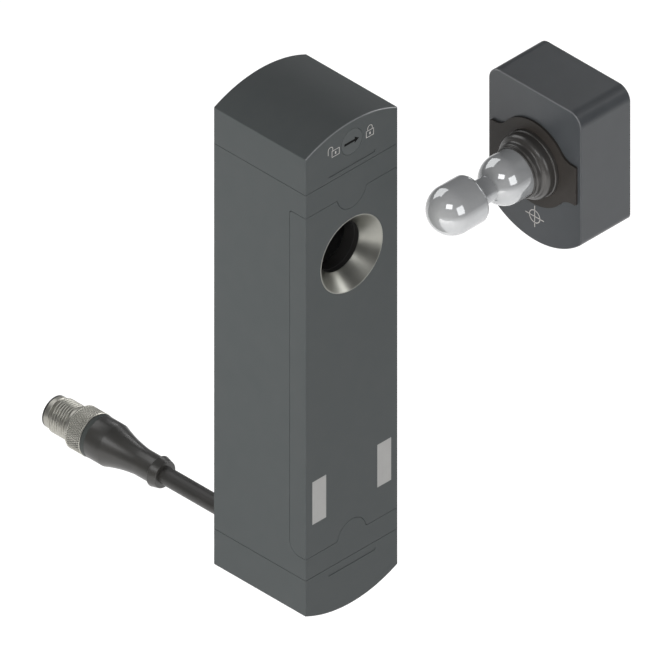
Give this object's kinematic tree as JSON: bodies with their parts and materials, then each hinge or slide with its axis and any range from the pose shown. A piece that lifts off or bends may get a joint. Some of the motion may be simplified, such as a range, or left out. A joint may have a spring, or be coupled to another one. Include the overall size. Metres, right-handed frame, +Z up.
{
  "type": "tongue interlock switch",
  "caption": "Slim upright tower with a round steel-mouthed socket, locking plate and pigtail plug, and a separate actuator with a polished self-aligning tongue.",
  "frame": {"origin": "middle of the tower's rear mounting face, which is the middle of its four bolt holes", "axes": "+X to the right as seen from the front, +Y out of the rear face towards the machine frame, +Z up along the tower"},
  "size_m": [0.1159, 0.1541, 0.181],
  "materials": {
    "casing": "fine satin texture",
    "actuator_casing": "satin with sharp soft highlights",
    "black_rubber": "matt black-brown rubber",
    "black_plastic": "matt black",
    "dial": "as the casing, with a dark arrow slot",
    "window": "light grey translucent",
    "satin_steel": "turned satin steel",
    "polished_steel": "polished stainless steel",
    "steel_sheet": "plain steel",
    "steel_screw": "zinc plated",
    "copper": "copper",
    "board": "green solder resist",
    "cable_sheath": "black polyurethane",
    "plug_moulding": "black satin moulding",
    "gold_contact": "gold plated",
    "nickel": "warm nickel plate"
  },
  "bodies": {
    "tower": {"housing": "casing", "head_cap": "casing", "foot_cap": "casing", "front_cover": "casing", "head_seal": "black_rubber", "foot_seal": "black_rubber", "head_cap_screws": "steel_screw", "foot_cap_screws": "steel_screw", "left_window": "window", "right_window": "window", "captive_nuts": "steel_screw", "socket_funnel": "satin_steel", "socket_sleeve": "black_plastic", "socket_cup": "black_plastic", "plate_guides": "black_plastic", "socket_screws": "steel_screw", "reader_coil": "copper", "solenoid_frame": "steel_sheet", "solenoid_bobbin": "black_plastic", "solenoid_winding": "copper", "lock_spring": "steel_sheet", "carrier": "steel_sheet", "carrier_screws": "steel_screw", "lock_sensor": "black_plastic", "main_board": "board", "board_chips": "black_plastic", "cable_terminal": "board", "inner_wires": "copper", "light_board": "board", "light_emitters": "window", "board_spacers": "steel_sheet", "board_screws": "steel_screw", "release_seal": "black_rubber", "cable_gland": "black_rubber", "cable": "cable_sheath", "plug_body": "plug_moulding", "contact_insert": "black_plastic", "contact_pins": "gold_contact"},
    "lock": {"locking_plate": "steel_sheet", "plunger": "steel_sheet", "plunger_pin": "steel_screw"},
    "release": {"release_dial": "dial", "release_clip": "steel_sheet"},
    "coupling": {"coupling_nut": "nickel"},
    "actuator": {"actuator_housing": "actuator_casing", "actuator_back": "actuator_casing", "actuator_nuts": "steel_screw", "back_screws": "steel_screw", "wing_plate": "black_rubber", "rubber_boot": "black_rubber", "transponder": "black_plastic"},
    "swivel": {"swivel_ring": "steel_sheet", "pitch_pins": "steel_screw"},
    "tongue_body": {"tongue": "polished_steel", "yaw_pin": "steel_screw"}
  },
  "joints": [
    {"name": "guard_swing", "type": "hinge", "parent": "tower", "child": "actuator", "pos_m": [0.02, -0.025, 0.04065], "axis": [0, 0, -1], "range_deg": [0, 90]},
    {"name": "tongue_pitch", "type": "hinge", "parent": "actuator", "child": "swivel", "pos_m": [0.0824, -0.045, 0.04065], "axis": [0, 1, 0], "range_deg": [-4, 4], "stiffness_Nm_per_rad": 1.5, "deforming": ["rubber_boot"]},
    {"name": "tongue_yaw", "type": "hinge", "parent": "swivel", "child": "tongue_body", "pos_m": [0.0824, -0.045, 0.04065], "axis": [0, 0, 1], "range_deg": [-4, 4], "stiffness_Nm_per_rad": 1.5},
    {"name": "lock_plate_slide", "type": "slide", "parent": "tower", "child": "lock", "axis": [0, 0, 1], "range_m": [0, 0.0046], "deforming": ["lock_spring"]},
    {"name": "release_turn", "type": "hinge", "parent": "tower", "child": "release", "pos_m": [0, -0.04, 0.08285], "axis": [0, 1, 0], "range_deg": [-180, 0]},
    {"name": "nut_spin", "type": "hinge", "parent": "tower", "child": "coupling", "pos_m": [0, 0.075, -0.083], "axis": [0, 1, 0], "continuous": true}
  ]
}
